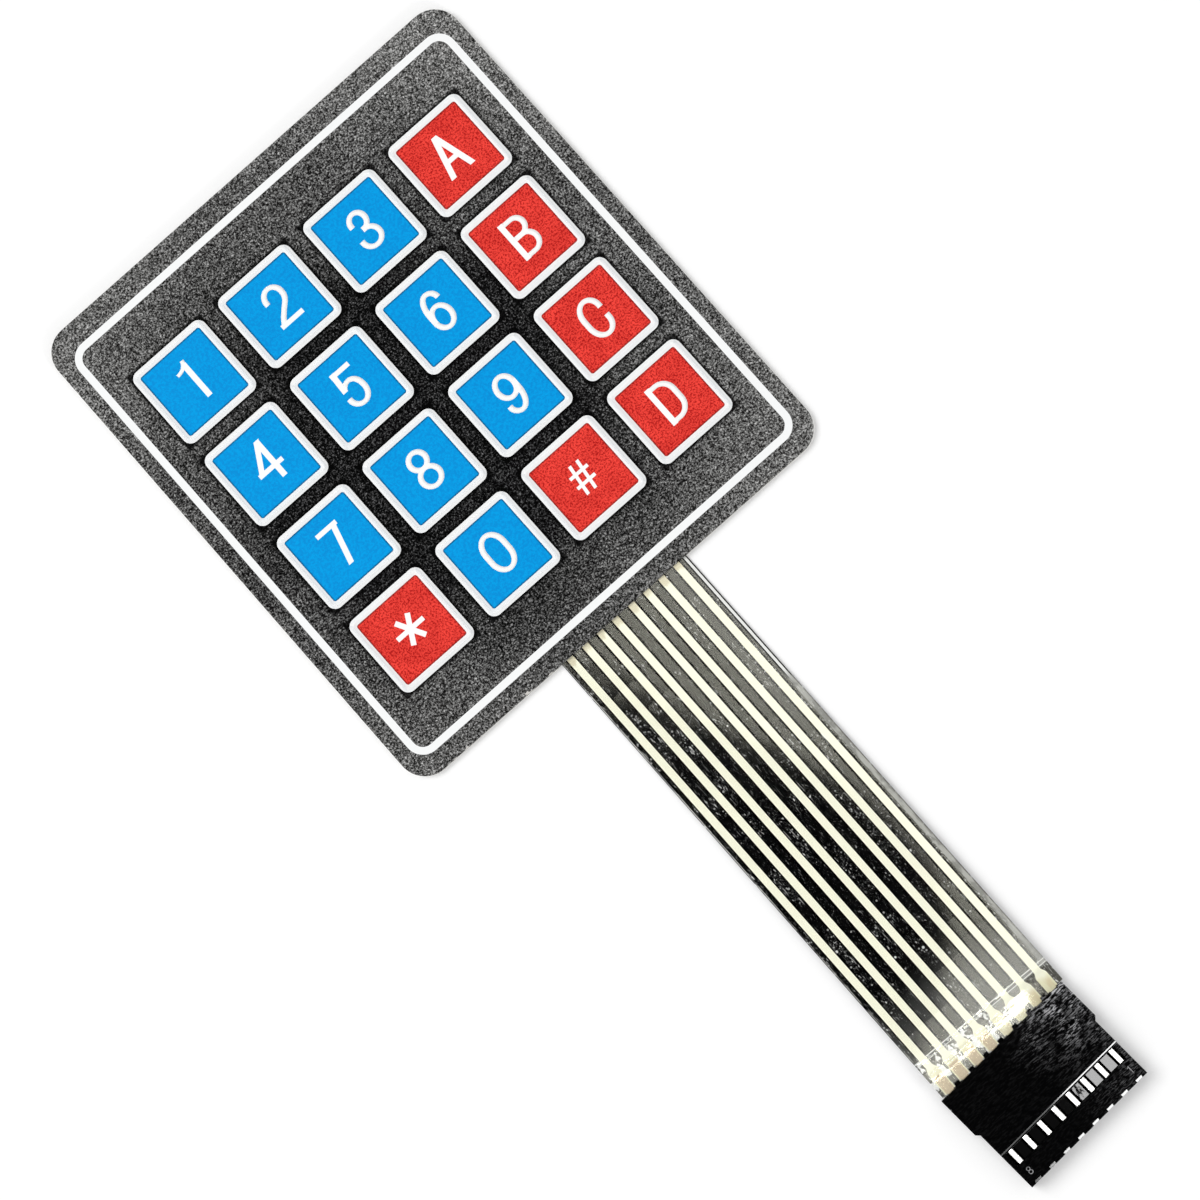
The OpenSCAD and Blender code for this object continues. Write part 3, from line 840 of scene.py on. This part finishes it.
THIN = 0.84
HASH = 0.60
LEGENDS = {
    "1": (
        lean(0.385, -2.71, 0.385, 2.75),
        bend(flat(-1.21, 1.98), up(0.52, 3.22), width=0.74),
    ),
    "2": (
        bend(
            up(-1.08, 1.04), up(-1.08, 1.35), flat(0.22, 2.77), up(1.48, 1.38),
            (0.25, -0.62, (-1.0, -1.02)), (-1.17, -2.40, (-0.38, -0.8)),
        ),
        bar(-1.65, -2.36, 1.98, -2.36, THIN),
    ),
    "3": (
        bend(
            up(-1.01, 1.25), up(-1.01, 1.50), flat(0.17, 2.75), up(1.25, 1.55), flat(0.20, 0.36),
            flat(-0.15, 0.36),
        ),
        bend(
            flat(-0.15, 0.22), flat(0.25, 0.22), up(1.54, -1.12), flat(0.17, -2.41), up(-1.19, -1.10),
            up(-1.19, -0.81),
        ),
    ),
    "4": (
        lean(0.875, -2.73, 0.875, 3.20),
        bar(-1.87, -0.80, 2.08, -0.80, THIN),
        lean(0.95, 3.20, -1.40, -0.80, 1.08),
    ),
    "5": (
        bar(-1.27, 2.77, 1.79, 2.77, THIN),
        lean(-0.98, 0.08, -0.82, 3.13),
        bend(
            (-0.95, 0.35, (0.5, 0.6)), flat(0.33, 1.08), up(1.51, -0.55), up(1.51, -0.80),
            flat(0.17, -2.40), up(-1.16, -1.10), up(-1.16, -0.85),
        ),
    ),
    "6": (
        bend(up(1.41, 1.50), up(1.41, 1.62), flat(0.25, 2.75), up(-1.07, 0.30), up(-1.07, -0.85)),
        ring(flat(0.22, 0.76), up(-1.07, -0.85), flat(0.22, -2.42), up(1.52, -0.85)),
    ),
    "7": (
        bar(-1.48, 2.73, 1.86, 2.73, THIN),
        lean(-0.16, -2.71, 1.38, 3.05),
    ),
    "8": (
        ring(flat(0.15, 2.75), up(-1.05, 1.52), flat(0.15, 0.30), up(1.35, 1.52)),
        ring(flat(0.17, 0.25), up(-1.21, -1.10), flat(0.17, -2.43), up(1.54, -1.10)),
    ),
    "9": (
        bend(up(-1.04, -1.10), up(-1.04, -1.25), flat(0.12, -2.45), up(1.51, 0.05), up(1.51, 1.15)),
        ring(flat(0.22, 2.72), up(-1.07, 1.15), flat(0.22, -0.38), up(1.51, 1.15)),
    ),
    "0": (
        ring(
            flat(0.15, 2.74), up(-1.36, 0.75), up(-1.36, -0.45), flat(0.15, -2.45), up(1.66, -0.45),
            up(1.66, 0.75),
        ),
    ),
    "A": (
        lean(-1.60, -2.71, -0.05, 3.25, 1.07),
        lean(1.61, -2.71, -0.05, 3.25, 1.07),
        bar(-1.10, -0.50, 1.10, -0.50, THIN),
    ),
    "B": (
        lean(-1.30, -2.73, -1.30, 3.17),
        bend(flat(-1.30, 2.78), flat(0.25, 2.78), up(1.39, 1.60), flat(0.25, 0.40), flat(-1.30, 0.40)),
        bend(flat(-1.30, 0.36), flat(0.25, 0.36), up(1.51, -1.00), flat(0.25, -2.35), flat(-1.30, -2.35)),
    ),
    "C": (
        bend(
            up(1.49, 0.83), up(1.49, 1.20), flat(0.15, 2.74), up(-1.38, 0.75), up(-1.38, -0.45),
            flat(0.15, -2.45), up(1.49, -0.90), up(1.49, -0.35),
        ),
    ),
    "D": (
        lean(-1.30, -2.75, -1.30, 3.12),
        bend(
            flat(-1.30, 2.73), flat(-0.20, 2.73), up(1.51, 0.95), up(1.51, -0.55), flat(-0.20, -2.36),
            flat(-1.30, -2.36),
        ),
    ),
    "*": (
        bar(-2.29, 0.18, 2.17, 0.18, THIN),
        bar(-1.10, 2.03, 1.00, -1.70, 0.92),
        bar(0.98, 2.03, -1.10, -1.70, 0.92),
    ),
    "#": (
        lean(-0.93, -2.02, -0.42, 2.31, HASH),
        lean(0.32, -2.02, 0.81, 2.31, HASH),
        bar(-1.52, 0.93, 1.50, 0.93, HASH),
        bar(-1.56, -0.58, 1.46, -0.58, HASH),
    ),
}


def bar_mesh(stroke, pen):
    """A straight stroke as a slab one unit high."""
    first, last = stroke["ends"]
    run = last - first
    aside = Vector((1.0, 0.0)) if stroke["level"] else Vector((run.y, -run.x)).normalized()
    aside *= stroke["width"] * pen
    turn = Matrix(((aside.x, run.x, 0, 0), (aside.y, run.y, 0, 0), (0, 0, 1, 0), (0, 0, 0, 1)))
    middle = (first + last) / 2.0
    bm = bmesh.new()
    bmesh.ops.create_cube(bm, size=1.0, matrix=Matrix.Translation((middle.x, middle.y, 0.0)) @ turn)
    bmesh.ops.recalc_face_normals(bm, faces=bm.faces)
    return to_mesh(bm, "stroke")


def curve_mesh(stroke, pen):
    """A curved stroke as a slab one unit high, thinner where it runs across."""
    line = bpy.data.curves.new("stroke", "CURVE")
    line.dimensions = "2D"
    line.fill_mode = "NONE"
    line.extrude = 0.5
    line.resolution_u = 9
    spline = line.splines.new("BEZIER")
    spline.use_cyclic_u = stroke["closed"]
    knots = [(Vector((x, y)), way) for x, y, way in stroke["knots"]]
    spline.bezier_points.add(len(knots) - 1)
    for index, point in enumerate(spline.bezier_points):
        here, way = knots[index]
        before = knots[index - 1][0]
        after = knots[(index + 1) % len(knots)][0]
        ends = (here, here + reach(here, before, way), here + reach(here, after, way))
        drawn = [Vector((end.x, end.y / PEN_FLATNESS, 0.0)) for end in ends]
        point.handle_left_type = point.handle_right_type = "FREE"
        point.co, point.handle_left, point.handle_right = drawn
    bm = bmesh.new()
    bm.from_mesh(taken_mesh(new_object("stroke", line)))
    bmesh.ops.remove_doubles(bm, verts=bm.verts, dist=1e-4)
    bmesh.ops.recalc_face_normals(bm, faces=bm.faces)
    slab = evaluated(
        to_mesh(bm, "wall"),
        ("SOLIDIFY", {"thickness": stroke["width"] * pen, "offset": 0.0, "use_even_offset": True}),
    )
    slab.transform(Matrix.Diagonal((1.0, PEN_FLATNESS, 1.0, 1.0)))
    return slab


def legend_mesh(sign, pen):
    """All strokes of a sign joined into one slab, one unit high."""
    parts = []
    for stroke in LEGENDS[sign]:
        mesh = bar_mesh(stroke, pen) if stroke["kind"] == "bar" else curve_mesh(stroke, pen)
        parts.append(new_object("part", mesh))
    joined = [
        ("BOOLEAN", {"operation": "UNION", "solver": "EXACT", "object": other}) for other in parts[1:]
    ]
    made = evaluated(parts[0].data, *joined)
    for part in parts:
        bpy.data.objects.remove(part)
    if not made.polygons:
        raise RuntimeError("legend " + sign + " came out empty")
    return made


class KEYPAD_OT_overlay(bpy.types.Operator):
    """Finish the overlay and the colours printed in it"""

    bl_idname = "keypad.overlay"
    bl_label = "Finish the overlay"

    def execute(self, context):
        colours = context.scene.keypad_finish
        dress("overlay_film", overlay_finish(colours))
        pale_grey = (0.86, 0.87, 0.87)
        deep_blue = (0.0, 0.235, 0.64)
        deep_red = (0.40, 0.006, 0.006)
        # Frame sides that get painted shade, and how much
        sides = (
            ("Across", "Along", 1.0, 0.28),
            ("Across", "Along", -1.0, 0.25),
            ("Along", "Across", -1.0, 0.10),
        )
        white = {"tint": colours.white, "darker": pale_grey, "grain_size": 0.40, "mottling": 0.15}
        # The edge values are painted shade along the fields' edges
        blue = {"grain_size": 0.40, "mottling": 0.6, "level": 0.5, "edge": 0.62}
        red = {"grain_size": 0.26, "mottling": 1.0, "level": 0.465, "edge": 0.55}
        dress("border_print", print_finish("white_print", **white))
        dress("key_frame_prints", print_finish("white_frame", **white, sides=sides))
        dress("blue_key_prints", print_finish("blue_print", colours.blue, deep_blue, **blue))
        dress("red_key_prints", print_finish("red_print", colours.red, deep_red, **red))
        return {"FINISHED"}


class KEYPAD_OT_legends(bpy.types.Operator):
    """Draw the legend of each key"""

    bl_idname = "keypad.legends"
    bl_label = "Draw the legends"

    def execute(self, context):
        sizes = context.scene.keypad_sizes
        material = bpy.data.materials["white_print"]
        for row, signs in enumerate(KEY_ROWS):
            for column, sign in enumerate(signs):
                mesh = legend_mesh(sign, sizes.legend_stroke / MM)
                x = (column - 1.5) * KEY_PITCH_X
                y = (1.5 - row) * KEY_PITCH_Y + PRINT_SHIFT_Y
                spread = Matrix.Diagonal((MM, MM, 2.0 * sizes.legend_height, 1.0))
                mesh.transform(Matrix.Translation((x * MM, y * MM, FIELD_TOP * MM)) @ spread)
                place_piece("legend_" + PIECE_WORDS.get(sign, sign), mesh, "white_print", material)
        return {"FINISHED"}


class KEYPAD_OT_films(bpy.types.Operator):
    """Lay the clear film and finish the circuit and the backing"""

    bl_idname = "keypad.films"
    bl_label = "Lay the films"

    def execute(self, context):
        colours = context.scene.keypad_finish
        track = track_finish(colours)
        for node in ("row_tracks", "column_tracks"):
            dress(node, track)
        black = smoothed(to_mesh(merged_copy("lower_circuit_film"), "black_film"))
        place_piece("black_film", black, "black_film", black_film_finish(colours), "lower_circuit_film")
        adhesive = adhesive_finish()
        for node in ("overlay_adhesive", "rear_adhesive"):
            dress(node, adhesive)
        dress("release_liner", liner_finish())
        layers = (
            ("clear_film", "upper_circuit_film", "clear_film", 1.5, 0.03, 0.0, 0.008, 0.05),
            ("clear_spacer", "spacer", "adhesive", 1.06, 0.012, -0.012, 0.004, 0.0),
        )
        for name, node, slot, ior, lift, drop, wave, crease in layers:
            bm = merged_copy(node)
            for vert in bm.verts:
                vert.co.z += (lift if vert.normal.z < -0.1 else drop if vert.normal.z > 0.1 else 0.0) * MM
            clear = clear_finish(name, ior, wave, crease, node == "upper_circuit_film")
            place_piece(name, smoothed(to_mesh(bm, name)), slot, clear, node)
        return {"FINISHED"}


class KEYPAD_OT_connector(bpy.types.Operator):
    """Round the moulded connector's edges and number its ends"""

    bl_idname = "keypad.connector"
    bl_label = "Mould the connector"

    def execute(self, context):
        colours = context.scene.keypad_finish
        sizes = context.scene.keypad_sizes
        material = housing_finish(colours)
        mesh = rounded_copy("connector_housing", sizes.edge_round, segments=2)
        place_piece("connector_shell", mesh, "black_housing", material, "connector_housing")
        middle = Vector((HOUSING_X, HOUSING_Y, NOSE_TOP)) * MM
        askew = Matrix.Translation(middle) @ Matrix.Rotation(HOUSING_SKEW, 4, "Z")
        slant = {"gloss": 0.4, "roughness": 0.08, "wave_mm": 0.002, "duller": 0.4}
        trough = {"gloss": 0.025, "roughness": 0.02, "wave_mm": 0.003}
        mesh.materials.append(polished_finish("polished_slant", colours, **slant))
        mesh.materials.append(polished_finish("polished_trough", colours, **trough))
        front = askew.to_3x3() @ Vector((0.0, -1.0, 0.0))
        for face in mesh.polygons:
            off_floor = abs(face.center.z - TROUGH_FLOOR * MM)
            if SLANT_Z[0] < face.normal.z < SLANT_Z[1] and face.normal.dot(front) > SLANT_FRONT:
                face.material_index = 1
            elif face.normal.z > LEVEL_Z and off_floor < FLOOR_SLACK * MM:
                face.material_index = 2
        number = number_finish(colours)
        scale = sizes.number_height / LEGEND_SPAN
        spread = Matrix.Diagonal((scale, scale, NUMBER_RISE * MM, 1.0))
        for sign, pins in (("1", 3.5), ("8", -3.5)):
            mesh = legend_mesh(sign, NUMBER_PEN)
            mesh.transform(askew @ Matrix.Translation((pins * PIN_PITCH * MM, NUMBER_Y * MM, 0.0)) @ spread)
            place_piece("number_" + sign, mesh, "black_housing", number)
        return {"FINISHED"}


class KEYPAD_OT_contacts(bpy.types.Operator):
    """Plate the eight contacts"""

    bl_idname = "keypad.contacts"
    bl_label = "Plate the contacts"

    def execute(self, context):
        material = contact_finish(context.scene.keypad_finish)
        width = context.scene.keypad_sizes.contact_round
        for node in [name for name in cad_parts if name.startswith("contact_")]:
            mesh = rounded_copy(node, width, segments=3)
            place_piece("plated_" + node, mesh, "tin_plate", material, node)
        return {"FINISHED"}


# Studio

CAMERA_AT = Vector((1.03, -85.76, 485.85)) * MM
CAMERA_RIGHT = Vector((0.7491, -0.65845, -0.07269))
CAMERA_UP = Vector((0.66243, 0.7454, 0.07455))
CAMERA_LOOK = Vector((-0.0051, 0.104, -0.99456))
FLOOR_AT = (0.0, -0.04, -0.00002)
FLOOR_REACH = (2.5, 2.5)
FLOOR_GLOW = 0.16
LAMP_HEIGHT = 0.9
FLAG_AT = Vector((-0.082, -0.0375, LAMP_HEIGHT))
FLAG_REACH = (0.113, 0.111)
FLAG_FADE = (0.100, 0.109)


def soft_light(name, place, target, width, height, power):
    """A rectangular lamp aimed at a point."""
    lamp = bpy.data.lights.new(name, "AREA")
    lamp.shape = "RECTANGLE"
    lamp.size, lamp.size_y, lamp.energy = width, height, power
    holder = new_object(name, lamp)
    holder.location = place
    holder.rotation_mode = "QUATERNION"
    holder.rotation_quaternion = (Vector(target) - Vector(place)).to_track_quat("-Z", "Y")
    return holder


def stage_disc(name, place, across, along, material):
    """A flat oval of the studio."""
    bm = bmesh.new()
    spread = Matrix.Translation(place) @ Matrix.Diagonal((across, along, 1.0, 1.0))
    bmesh.ops.create_circle(bm, cap_ends=True, segments=96, radius=1.0, matrix=spread)
    disc = new_object(name, to_mesh(bm, name))
    disc.data.materials.append(material)
    return disc


def seen_directly(tree):
    """One where the eye meets a surface straight, in a reflection or through clear film."""
    rays = add(tree, "LightPath").outputs
    return highest(rays["Is Camera Ray"], rays["Is Glossy Ray"], rays["Is Transmission Ray"])


def floor_finish(tint):
    """Pale floor that reads as white and keeps its shadows."""
    material, tree, shader = finish("pale_floor", Roughness=0.9, Specular_IOR_Level=0.1)
    shader["Base Color"].default_value = (*tint, 1.0)
    feed(shader["Emission Color"], (1.0, 1.0, 1.0, 1.0))
    feed(shader["Emission Strength"], product(seen_directly(tree), FLOOR_GLOW))
    return material


class KEYPAD_OT_stage(bpy.types.Operator):
    """Set the floor, the lights and the camera"""

    bl_idname = "keypad.stage"
    bl_label = "Set the stage"

    def execute(self, context):
        scene = context.scene
        studio = scene.keypad_studio
        scene.view_settings.view_transform = "Standard"
        stage_disc("floor", FLOOR_AT, *FLOOR_REACH, floor_finish(scene.keypad_finish.floor))
        black, cloth, shader = finish("flag_cloth", Roughness=1.0, Specular_IOR_Level=0.0)
        shader["Base Color"].default_value = (0.004, 0.004, 0.004, 1.0)
        out = add(cloth, "VectorMath", {"operation": "DISTANCE"})
        feed(out.inputs[0], add(cloth, "TexCoord").outputs["Object"])
        feed(out.inputs[1], FLAG_AT)
        feed(shader["Alpha"], ramp(out.outputs["Value"], *FLAG_FADE, 1.0, 0.0))
        flag = stage_disc("dark_flag", FLAG_AT, *FLAG_REACH, black)
        flag.visible_camera = False

        world = bpy.data.worlds.new("studio_sky")
        scene.world = world
        world.use_nodes = True
        tree = world.node_tree
        level = ramp(seen_directly(tree), 0.0, 1.0, studio.sky, 1.0, smooth=False)
        glossy = add(tree, "LightPath").outputs["Is Glossy Ray"]
        level = highest(level, product(glossy, studio.sheen))
        feed(tree.nodes["Background"].inputs["Color"], (1.0, 1.0, 1.0, 1.0))
        feed(tree.nodes["Background"].inputs["Strength"], level)

        middle = (0.0, -0.04, 0.0)
        soft_light("key_light", (-0.55, 0.60, 1.15), middle, 0.9, 0.9, studio.key_power)
        soft_light("edge_light", (0.10, -0.85, 0.34), (0.0, -0.12, 0.0), 0.15, 0.12, studio.edge_power)
        for name, x, y, width, height, power in (
            ("glare_light", 0.0064, -0.1474, 0.026, 0.0100, studio.glare_power),
            ("crease_light", -0.020, -0.144, 0.024, 0.014, studio.crease_power),
            ("trough_light", 0.0155, -0.189, 0.021, 0.020, studio.trough_power),
        ):
            small = soft_light(name, (x, y, LAMP_HEIGHT), (x, y, 0.0), width, height, power)
            small.data.shape = "ELLIPSE" if name == "glare_light" else "RECTANGLE"

        eye = bpy.data.cameras.new("camera")
        eye.sensor_width = 36.0
        eye.lens = studio.lens
        eye.clip_start = 0.01
        camera = new_object("camera", eye)
        axes = Matrix((CAMERA_RIGHT, CAMERA_UP, -CAMERA_LOOK)).transposed()
        camera.rotation_mode = "QUATERNION"
        camera.rotation_quaternion = axes.to_quaternion()
        camera.location = CAMERA_AT
        scene.camera = camera
        return {"FINISHED"}


STEPS = (
    KEYPAD_OT_stage,
    KEYPAD_OT_overlay,
    KEYPAD_OT_legends,
    KEYPAD_OT_films,
    KEYPAD_OT_connector,
    KEYPAD_OT_contacts,
)
SETTINGS = {"keypad_finish": KeypadFinish, "keypad_sizes": KeypadSizes, "keypad_studio": KeypadStudio}


class KEYPAD_PT_looks(bpy.types.Panel):
    """Steps and settings of the keypad's looks"""

    bl_idname = "KEYPAD_PT_looks"
    bl_label = "Keypad looks"
    bl_space_type = "VIEW_3D"
    bl_region_type = "UI"
    bl_category = "Keypad"

    def draw(self, context):
        for step in STEPS:
            self.layout.operator(step.bl_idname)
        for name, group in SETTINGS.items():
            column = self.layout.column()
            for setting in group.__annotations__:
                column.prop(getattr(context.scene, name), setting)


CLASSES = (*SETTINGS.values(), *STEPS, KEYPAD_PT_looks)


def register():
    """Adds the settings, the steps and the panel."""
    for item in CLASSES:
        bpy.utils.register_class(item)
    for name, group in SETTINGS.items():
        setattr(bpy.types.Scene, name, PointerProperty(type=group))


def unregister():
    """Takes them away again."""
    for name in SETTINGS:
        delattr(bpy.types.Scene, name)
    for item in reversed(CLASSES):
        bpy.utils.unregister_class(item)


def main():
    """Builds the looks step by step."""
    register()
    make_groups()
    for step in STEPS:
        area, name = step.bl_idname.split(".")
        getattr(getattr(bpy.ops, area), name)()


if __name__ == "__main__":
    main()
